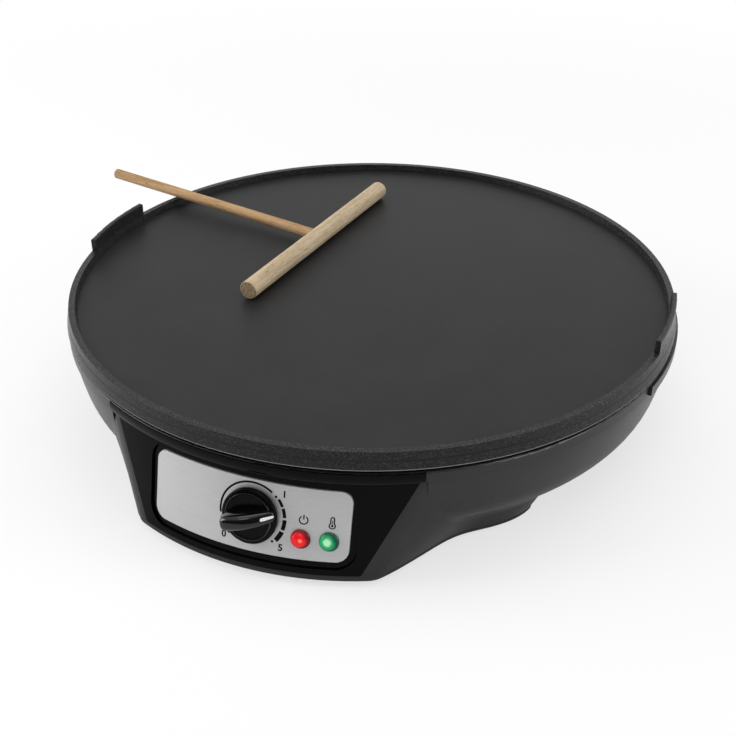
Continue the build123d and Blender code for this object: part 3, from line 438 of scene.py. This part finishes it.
# The front is curved and leans back: its radius, and its reach from the plate's axis, at its foot
# and at the collar
front_foot = 0.003
front_collar = 0.053
front_radius_low = 0.142
front_radius_high = 0.188
front_reach_low = 0.1688
front_reach_high = 0.154
panel_sunk = 0.0004
ink_height = 0.00005
ink_depth = 0.00003


def panel_point(x, z, lift):
    """Place on the panel's face at x and z, lifted off it."""
    share = (z - front_foot) / (front_collar - front_foot)
    radius = front_radius_low + (front_radius_high - front_radius_low) * share
    reach = front_reach_low + (front_reach_high - front_reach_low) * share
    y = radius - reach - math.sqrt((radius - panel_sunk) ** 2 - x ** 2)
    return Vector((x, y, z)) + seat_out * lift


def on_dial(right, up, lift):
    """Place on the panel from distances to the right of and above the knob's axis."""
    flat = seat + seat_right * right + seat_up * up
    return panel_point(flat.x, flat.z, lift)


def ink_strip(form, outer, inner):
    """Closed printed line between two rows of points on the dial."""
    sides = ((outer, -ink_depth), (outer, ink_height), (inner, ink_height), (inner, -ink_depth))
    rows = [[form.verts.new(on_dial(*point, lift)) for point in side] for side, lift in sides]
    for first, second in zip(rows, rows[1:] + rows[:1]):
        for a, b, c, d in zip(first, first[1:], second[1:], second):
            form.faces.new((a, b, c, d))
    for index in (0, -1):
        form.faces.new([row[index] for row in rows])


def ring_points(centre, radius, start, stop, steps):
    """Points of an arc on the dial, from one angle in degrees to another."""
    angles = [math.radians(start + (stop - start) * step / steps) for step in range(steps + 1)]
    return [(centre[0] + radius * math.cos(a), centre[1] + radius * math.sin(a)) for a in angles]


def ink_arc(form, centre, radius, width, start, stop, steps):
    """Printed arc, with its middle line at the radius."""
    ink_strip(form, ring_points(centre, radius + width / 2, start, stop, steps),
              ring_points(centre, radius - width / 2, start, stop, steps))


def ink_dot(form, centre, radius):
    """Printed dot with a flat top."""
    rim = ring_points(centre, radius, 0, 337.5, 15)
    low = [form.verts.new(on_dial(*point, -ink_depth)) for point in rim]
    high = [form.verts.new(on_dial(*point, ink_height)) for point in rim]
    form.faces.new(high)
    for index in range(len(rim)):
        after = (index + 1) % len(rim)
        form.faces.new((low[index], low[after], high[after], high[index]))


ink_dark = (0.002, 0.002, 0.0022)
ink_thin = (0.006, 0.006, 0.0065)
dial_ink, place = start_material("dial_ink")
cover = place.noise(900.0, 3.0, 0.6)
close_material(dial_ink, place, {
    "Base Color": cover.rise(0.3, 0.7).blend(ink_dark, ink_thin),
    "Roughness": 0.5 + cover * 0.2,
    "Specular IOR Level": 0.06,
    "Normal": cover.bump(0.2, 0.00002),
})


def printed(name, form):
    """A finished print as a piece on the base."""
    bmesh.ops.recalc_face_normals(form, faces=form.faces)
    piece = finished(name, form)
    put_on(dial_ink, piece)
    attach(piece, "base")


# Angles are in degrees, counterclockwise from the right of the knob
dial_middle = (0.0, 0.0)
dial_radius = 0.0153
dial_line = 0.00095
dashes = [(38.0, 24.0, 0.0013), (21.0, 4.5, 0.0015), (1.0, -17.0, 0.0018), (-20.5, -39.5, 0.0022)]
dot_angles = (44.0, -45.5, -133.3)
dot_radius = 0.0006
form = bmesh.new()
ink_arc(form, dial_middle, dial_radius, dial_line, 190.0, 53.5, 60)
ink_arc(form, dial_middle, dial_radius, dial_line, 223.0, 197.0, 12)
for start, stop, width in dashes:
    ink_arc(form, dial_middle, dial_radius + width / 4, width, start, stop, 10)
for angle in dot_angles:
    spot = ring_points(dial_middle, dial_radius, angle, angle, 1)[0]
    ink_dot(form, spot, dot_radius)
printed("dial_marks", form)


def worked_out(piece):
    """The mesh that an object's outline or modifiers give."""
    bpy.context.view_layer.update()
    depsgraph = bpy.context.evaluated_depsgraph_get()
    return bpy.data.meshes.new_from_object(piece.evaluated_get(depsgraph))


number_size = 0.0046
number_weight = 0.00012
numbers = {
    "number_off": ("0", (-0.0128, -0.0128)),
    "number_low": ("1", (0.0148, 0.0123)),
    "number_high": ("5", (0.0147, -0.0134)),
}
for name, (figure, centre) in numbers.items():
    letters = bpy.data.curves.new(name, "FONT")
    letters.body = figure
    letters.size = number_size
    letters.align_x = "CENTER"
    letters.align_y = "CENTER"
    letters.offset = number_weight
    letters.extrude = (ink_height + ink_depth) / 2
    outline = bpy.data.objects.new(name + "_outline", letters)
    stage.link(outline)
    mesh = worked_out(outline)
    bpy.data.objects.remove(outline)
    middle = (ink_height - ink_depth) / 2
    for vertex in mesh.vertices:
        x, y, z = vertex.co
        vertex.co = on_dial(centre[0] + x, centre[1] + y, middle + z)
    form = bmesh.new()
    form.from_mesh(mesh)
    bmesh.ops.remove_doubles(form, verts=form.verts, dist=1e-7)
    printed(name, form)


# ---------------------------------------------------------------- lamp symbols
# Plain symbols printed above the two lamps: a circle with a bar for the mains, and a small
# thermometer for the heat.
def from_knob(x, z):
    """Distances to the right of and above the knob's axis, for a place on the panel."""
    return (x - seat.x) / seat_right.x, (z - seat.z) / seat_up.z


def ink_upright(form, x, low, high, width):
    """Printed upright line, with its middle at x."""
    ink_strip(form, [(x - width / 2, low), (x - width / 2, high)],
              [(x + width / 2, low), (x + width / 2, high)])


symbol_line = 0.00055
power_x, power_up = from_knob(0.0274, 0.0311)
power_radius = 0.0019
form = bmesh.new()
ink_arc(form, (power_x, power_up), power_radius, symbol_line, 122.0, 418.0, 40)
ink_upright(form, power_x, power_up + 0.0003, power_up + 0.0026, symbol_line)
printed("power_symbol", form)

heat_x, heat_up = from_knob(0.04, 0.0309)
bulb_up = heat_up - 0.0013
bulb_radius = 0.00132
bulb_dot = 0.00055
neck_up = heat_up + 0.0021
neck_radius = 0.00078
column_width = 0.00028
form = bmesh.new()
ink_arc(form, (heat_x, bulb_up), bulb_radius, symbol_line, 125.0, 415.0, 32)
ink_arc(form, (heat_x, neck_up), neck_radius, symbol_line, 0.0, 180.0, 16)
for side in (-1, 1):
    ink_upright(form, heat_x + side * neck_radius, bulb_up + 0.00104, neck_up, symbol_line)
ink_dot(form, (heat_x, bulb_up), bulb_dot)
ink_upright(form, heat_x, bulb_up, neck_up - 0.0006, column_width)
printed("heat_symbol", form)

# ---------------------------------------------------------------- knob
# Glossy black dial knob moulded in one piece: a flat dial with a raised inner face, and a grip bar
# that swells in the middle, ends round at the tail and slopes down to the pointer.
knob_gap = 0.6
knob_middle = seat + seat_out * knob_gap / 1000
grip_turn = math.radians(15.0)
grip_along = seat_right * math.cos(grip_turn) + seat_up * math.sin(grip_turn)
grip_across = seat_out.cross(grip_along)
# The dial's radius and its height above its back, from the outer edge inwards, in millimetres
dial_profile = [
    (12.7, 0.0), (13.05, 0.12), (13.2, 0.4), (13.2, 1.5), (13.12, 1.95), (12.85, 2.3), (12.4, 2.48),
    (12.0, 2.5), (11.5, 2.5), (11.38, 2.56), (11.34, 2.7), (11.3, 3.05), (11.2, 3.2), (11.0, 3.25),
    (10.75, 3.2), (10.55, 3.05), (10.3, 3.0), (9.0, 3.0), (5.0, 3.0),
]
dial_steps = 96
# The place along the pointer, half the grip's width there and its crest's height, in millimetres
grip_stations = [
    (-10.25, 2.1, 10.2), (-10.0, 3.1, 11.3), (-9.2, 3.8, 12.1), (-7.6, 4.2, 12.5), (-4.5, 4.35, 12.6),
    (-1.0, 4.3, 12.3), (2.5, 4.1, 11.3), (5.5, 3.85, 9.7), (8.0, 3.5, 7.8), (10.2, 3.05, 5.9),
    (12.0, 2.5, 4.3), (12.9, 1.8, 3.5),
]
grip_ring = 24
grip_squareness = 3.4
grip_foot = 2.0         # height at which the grip is widest
grip_root = 0.9         # how far it reaches into the dial below that


def on_knob(along, across, high):
    """Place on the knob, from millimetres along and across the pointer and above its back."""
    return knob_middle + (grip_along * along + grip_across * across + seat_out * high) / 1000


def squared(value):
    """A sine or cosine, changed so that a circle drawn with it becomes a soft square."""
    return math.copysign(abs(value) ** (2 / grip_squareness), value)


form = bmesh.new()
turns = [math.tau * step / dial_steps for step in range(dial_steps)]
rows = []
for radius, high in dial_profile:
    ring = [on_knob(radius * math.cos(turn), radius * math.sin(turn), high) for turn in turns]
    rows.append([form.verts.new(point) for point in ring])
loft(form, rows)
dial = finished("knob_dial", form)

form = bmesh.new()
turns = [math.tau * (step + 0.5) / grip_ring for step in range(grip_ring)]
rows = []
for along, half, crest in grip_stations:
    row = []
    for turn in turns:
        across = half * squared(math.cos(turn))
        rise = squared(math.sin(turn))
        reach = crest - grip_foot if rise > 0 else grip_root
        row.append(form.verts.new(on_knob(along, across, grip_foot + reach * rise)))
    rows.append(row)
loft(form, rows)
grip_bar = finished("knob_grip", form)
rounding = grip_bar.modifiers.new("rounding", "SUBSURF")
rounding.levels = 2
rounding.render_levels = 2

joining = dial.modifiers.new("joining", "BOOLEAN")
joining.operation = "UNION"
joining.solver = "EXACT"
joining.object = grip_bar
knob_shape = worked_out(dial)
bpy.data.objects.remove(grip_bar)
bpy.data.objects.remove(dial)
knob_shape.shade_smooth()
knob_shape.set_sharp_from_angle(angle=math.radians(38.0))
knob = bpy.data.objects.new("knob_moulding", knob_shape)
stage.link(knob)

knob_black = (0.0012, 0.0012, 0.0014)
knob_worn = (0.003, 0.003, 0.0033)
knob_gloss, place = start_material("knob_gloss")
wear = place.noise(140.0, 4.0, 0.6)
rub = place.stretch((900.0, 900.0, 160.0)).noise(1.0, 2.0, 0.6)
raised = place.vector("SUBTRACT", knob_middle).vector("DOT_PRODUCT", seat_out, "Value") * 1000
close_material(knob_gloss, place, {
    "Base Color": wear.rise(0.4, 0.7).blend(knob_black, knob_worn),
    "Roughness": 0.1 + wear * 0.08 + rub * 0.05,
    "Specular IOR Level": 0.08,
    "Coat Weight": raised.rise(3.02, 3.2) * 0.75,
    "Coat Roughness": 0.08,
    "Normal": (wear + rub * 0.3).bump(0.06, 0.0001),
})
put_on(knob_gloss, knob)
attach(knob, "knob")
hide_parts("control_knob")

# ---------------------------------------------------------------- pointer
# Line of white paint, filled into a shallow groove that runs down the grip's slope to its end. It
# is a part of the knob and turns with it.

# The place along the pointer and half the line's width there, in millimetres
pointer_stations = [
    (8.0, 0.3), (8.15, 0.55), (8.5, 0.74), (9.2, 0.74), (10.2, 0.7), (11.5, 0.62), (12.4, 0.56),
    (12.75, 0.3),
]
paint_lift = 0.06
paint_edge = paint_lift * 0.3
paint_depth = 0.5
paint_flat = 0.8        # share of the line's width that is flat


def grip_crest(along):
    """Height of the grip's crest there, in millimetres."""
    for (start, _, low), (stop, _, high) in zip(grip_stations, grip_stations[1:]):
        if start <= along <= stop:
            return low + (high - low) * (along - start) / (stop - start)
    return grip_stations[-1][2]


form = bmesh.new()
rows = []
for along, half in pointer_stations:
    crest = grip_crest(along)
    side = [
        (half, crest - paint_depth),
        (half, crest + paint_edge),
        (half * paint_flat, crest + paint_lift),
    ]
    section = [(-across, high) for across, high in side] + side[::-1]
    rows.append([form.verts.new(on_knob(along, across, high)) for across, high in section])
loft(form, rows)
pointer = finished("pointer_line", form)

paint_dull = (0.8, 0.8, 0.79)
paint_white = (0.92, 0.92, 0.91)
pointer_paint, place = start_material("pointer_paint")
brushing = place.noise(1600.0, 3.0, 0.6)
close_material(pointer_paint, place, {
    "Base Color": brushing.rise(0.3, 0.7).blend(paint_dull, paint_white),
    "Roughness": 0.35 + brushing * 0.2,
    "Normal": brushing.bump(0.3, 0.00005),
})
put_on(pointer_paint, pointer)
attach(pointer, "knob")
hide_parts("knob_pointer")

# ---------------------------------------------------------------- signal lamps
# Domed lenses of clear coloured plastic over small neon lamps. Each lens has painted shade
# towards its rim, a painted highlight as a pale spot off its middle, and a faint painted glow.
lens_radius = 4.5


def lens_plastic(name, node, rim_shade_colour, body_colour, highlight_colour, highlight_place, highlight_size):
    """Lens with painted shade at its rim, a painted highlight and glow; places in millimetres from
    its axis.
    """
    low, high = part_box(node)
    middle = (Vector(low) + Vector(high)) / 2
    material, place = start_material(name)
    ripple = place.noise(700.0, 2.0)
    reaches = []
    for right, up in ((0.0, 0.0), highlight_place):
        centre = middle + seat_right * right / 1000 + seat_up * up / 1000
        from_axis = place.vector("SUBTRACT", centre).vector("CROSS_PRODUCT", seat_out).length()
        reaches.append(from_axis * 1000 + ripple * 0.5 - 0.25)
    # painted shade: the lens is darker towards its rim
    ring = (reaches[0] / lens_radius).rise(0.62, 0.98)
    # painted highlight: a pale spot a little off the lens's middle
    painted_highlight = 1 - (reaches[1] / highlight_size).rise(0.45, 1.1)
    colour = painted_highlight.blend(ring.blend(body_colour, rim_shade_colour), highlight_colour)
    return close_material(material, place, {
        "Base Color": colour,
        "Roughness": 0.2 + ripple * 0.08,
        "Specular IOR Level": 0.25,
        # painted glow: the lens gives off a little light in its own colours, its painted highlight
        # and shade included
        "Emission Color": colour,
        "Emission Strength": 0.3,
        "Normal": ripple.bump(0.1, 0.0001),
    })


red_plastic = lens_plastic("lens_red", "red_lens", (0.12, 0.002, 0.004), (0.72, 0.006, 0.014),
                           (0.95, 0.2, 0.1), (1.3, 0.2), 1.1)
green_plastic = lens_plastic("lens_green", "green_lens", (0.002, 0.05, 0.02), (0.004, 0.3, 0.1),
                             (0.36, 0.72, 0.42), (0.5, 0.5), 2.3)
put_on(red_plastic, nodes["red_lens"])
put_on(green_plastic, nodes["green_lens"])

glass_warm = (0.85, 0.62, 0.45)
glass_pale = (0.95, 0.85, 0.75)
lamp_glass, place = start_material("lamp_glass")
glow_mark = place.noise(600.0, 2.0)
close_material(lamp_glass, place, {
    "Base Color": glow_mark.rise(0.35, 0.65).blend(glass_warm, glass_pale),
    "Roughness": 0.05 + glow_mark * 0.08,
    "Transmission Weight": 0.6,
    "Normal": glow_mark.bump(0.1, 0.0001),
})
put_on(lamp_glass, nodes["red_lamp"], nodes["green_lamp"])

# ---------------------------------------------------------------- sheet steel and screws
# Zinc-plated steel: the heat shield, thermostat bracket, straps and saddles are pressed from
# sheet, the shaft and the screws are turned. The zinc has a faint crystal pattern and stains.
zinc_dark = (0.42, 0.42, 0.43)
zinc_pale = (0.62, 0.62, 0.62)
zinc, place = start_material("zinc_plate")
crystal = place.node("TexVoronoi", {}, {"Vector": place, "Scale": 160.0}, "Color").axis("X")
stain = place.noise(45.0, 4.0, 0.6)
rolled = place.stretch((2500.0, 60.0, 60.0)).noise(1.0, 2.0, 0.6)
close_material(zinc, place, {
    "Base Color": (crystal * 0.5 + stain * 0.5).rise(0.2, 0.8).blend(zinc_dark, zinc_pale),
    "Roughness": 0.3 + stain * 0.2 + rolled * 0.08,
    "Metallic": 0.9,
    "Normal": (rolled + crystal * 0.4).bump(0.15, 0.00005),
})
steel_pieces = ["heat_shield", "thermostat_bracket", "thermostat_shaft", "bulb_strap", "fuse_strap"]
steel_pieces += [f"element_saddle_{number}" for number in (1, 2, 3)]
steel_pieces += [f"plate_screw_{number}" for number in (1, 2, 3)]
steel_pieces += [f"cover_screw_{number}" for number in (1, 2, 3, 4)]
steel_pieces += [f"clamp_screw_{number}" for number in (1, 2)]
put_on(zinc, *[nodes[name] for name in steel_pieces])

# ---------------------------------------------------------------- heating element
# Bent tube of heat-proof steel, tinted blue and brown by its own heat. Three saddles hold it
# under the plate.
tints = [(0.3, (0.1, 0.1, 0.13)), (0.5, (0.2, 0.17, 0.15)), (0.7, (0.26, 0.22, 0.17))]
burnt = (0.06, 0.055, 0.05)
element_steel, place = start_material("element_steel")
heat = place.noise(22.0, 4.0, 0.65)
scale_marks = place.noise(500.0, 3.0, 0.6)
tint = heat.node("ValToRGB", {"stops": tints}, {"Fac": heat})
close_material(element_steel, place, {
    "Base Color": (scale_marks * 0.4).blend(tint, burnt),
    "Roughness": 0.42 + scale_marks * 0.25,
    "Metallic": 0.85,
    "Normal": scale_marks.bump(0.2, 0.0001),
})
put_on(element_steel, nodes["heating_element"])


# ---------------------------------------------------------------- insulators and small parts
# Steatite sleeves and the fuse's case are pale fired ceramic. Thermostat body, lamp holder,
# terminal block and cord clamp are dark moulded resin, the sensor and its tube are copper, and
# the feet and the inlet's bushing are rubber.
def speckled(name, dark, pale, rough, scale, metallic=0.0):
    """Small parts with a mottled surface."""
    material, place = start_material(name)
    mottle = place.noise(scale, 4.0, 0.6)
    pores = place.noise(scale * 9, 2.0, 0.6)
    return close_material(material, place, {
        "Base Color": (mottle * 0.6 + pores * 0.4).rise(0.35, 0.65).blend(dark, pale),
        "Roughness": rough + pores * 0.2,
        "Metallic": metallic,
        "Normal": pores.bump(0.25, 0.0001),
    })


fired = speckled("fired_ceramic", (0.62, 0.6, 0.54), (0.82, 0.8, 0.75), 0.35, 220.0)
resin = speckled("dark_resin", (0.035, 0.025, 0.02), (0.1, 0.075, 0.06), 0.4, 180.0)
copper = speckled("dull_copper", (0.5, 0.24, 0.13), (0.76, 0.45, 0.3), 0.28, 120.0, 0.9)
foot_rubber = speckled("foot_rubber", (0.018, 0.018, 0.018), (0.038, 0.038, 0.037), 0.6, 260.0)
resin_pieces = ["thermostat_body", "lamp_holder", "terminal_block", "cord_clamp"]
rubber_pieces = ["cord_bushing"]
rubber_pieces += [f"{end}_foot_{side}" for end in ("front", "rear") for side in ("left", "right")]
put_on(fired, *[nodes[f"plate_spacer_{number}"] for number in (1, 2, 3)], nodes["thermal_fuse"])
put_on(resin, *[nodes[name] for name in resin_pieces])
put_on(copper, nodes["capillary_bulb"], nodes["capillary_tube"])
put_on(foot_rubber, *[nodes[name] for name in rubber_pieces])


# ---------------------------------------------------------------- leads
# Heat-proof leads in the mains colours, with a slightly glossy skin; the earth lead carries its
# yellow stripe.
def lead_skin(name, colour, stripe):
    """Wire insulation with a stripe wound along it."""
    material, place = start_material(name)
    scuff = place.noise(500.0, 3.0, 0.6)
    wound = place.node("TexWave", {"bands_direction": "DIAGONAL"},
                       {"Vector": place, "Scale": 60.0, "Distortion": 1.5}, "Fac")
    return close_material(material, place, {
        "Base Color": (wound.rise(0.45, 0.55) * (scuff + 0.5)).blend(colour, stripe),
        "Roughness": 0.35 + scuff * 0.2,
        "Normal": scuff.bump(0.15, 0.0001),
    })


brown_skin = lead_skin("lead_brown", (0.16, 0.07, 0.035), (0.19, 0.09, 0.045))
blue_skin = lead_skin("lead_blue", (0.03, 0.12, 0.42), (0.04, 0.15, 0.48))
earth_skin = lead_skin("lead_earth", (0.06, 0.3, 0.05), (0.7, 0.6, 0.05))
put_on(brown_skin, nodes["live_lead"], nodes["switched_lead"])
put_on(blue_skin, nodes["neutral_lead"])
put_on(earth_skin, nodes["earth_lead"])

# ---------------------------------------------------------------- spreader
# Two turned sticks of bare beech glued into a T: a thick pale head that spreads the batter and a
# thin warmer handle. The grain runs along each stick and its open pores show at the sawn ends.
head_ends = (Vector((-0.054, -0.04, 0.0702)), Vector((-0.0353, 0.1074, 0.0702)))
handle_ends = (Vector((-0.1957, 0.0655, 0.0725)), Vector((-0.0447, 0.0337, 0.0702)))
pith_aside = 0.013
pith_below = 0.017
sawn_depth = 0.0004


def bare_wood(name, ends, pale, mid, dark, ring_pitch):
    """Wood with rings about a line beside the stick, long fibres, flecks and open end grain."""
    material, place = start_material(name)
    along = (ends[1] - ends[0]).normalized()
    aside = Vector((0.0, 0.0, 1.0)).cross(along)
    pith = ends[0] + aside * pith_aside - Vector((0.0, 0.0, pith_below))
    turn = -math.atan2(along.y, along.x)
    turned = place.node("Mapping", {}, {"Vector": place, "Rotation": (0.0, 0.0, turn)})
    warp = turned.stretch((7.0, 60.0, 60.0)).noise(1.0, 2.0, 0.5)
    across = turned.axis("Y") - pith.dot(aside)
    above = turned.axis("Z") - pith.z
    from_pith = (across * across + above * above).root()
    rings = ((from_pith + warp * 0.004) * (math.tau / ring_pitch)).sine()
    fibres = turned.stretch((50.0, 1300.0, 1300.0)).noise(1.0, 4.0, 0.7)
    patches = turned.stretch((40.0, 300.0, 300.0)).noise(1.0, 3.0, 0.6)
    flecks = turned.stretch((200.0, 2400.0, 2400.0)).noise(1.0, 2.0, 0.6).rise(0.56, 0.7)
    pores = place.noise(1100.0, 3.0, 0.75).rise(0.42, 0.56)
    reach = turned.axis("X")
    first, last = sorted(end.dot(along) for end in ends)
    sawn = (1 - reach.rise(first, first + sawn_depth)).either(reach.rise(last - sawn_depth, last))
    tone = (rings * 0.12 + fibres * 1.2 + patches * 0.7 - 0.5).rise(0.1, 0.9)
    side = (flecks * 0.75).blend(tone.blend(pale, mid), dark)
    end_grain = (pores * 0.9).blend(mid, dark)
    return close_material(material, place, {
        "Base Color": sawn.blend(side, end_grain),
        "Roughness": 0.62 + fibres * 0.2,
        "Specular IOR Level": 0.25,
        "Normal": (fibres + rings * 0.15 - flecks * 0.5 - sawn * pores).bump(0.3, 0.00015),
    })


head_wood = bare_wood("beech_head", head_ends, (0.55, 0.44, 0.3), (0.37, 0.28, 0.175),
                      (0.17, 0.11, 0.06), 0.0021)
handle_wood = bare_wood("beech_handle", handle_ends, (0.46, 0.295, 0.15), (0.27, 0.155, 0.07),
                        (0.1, 0.052, 0.022), 0.0024)
put_on(head_wood, nodes["spreader_head"])
put_on(handle_wood, nodes["spreader_handle"])
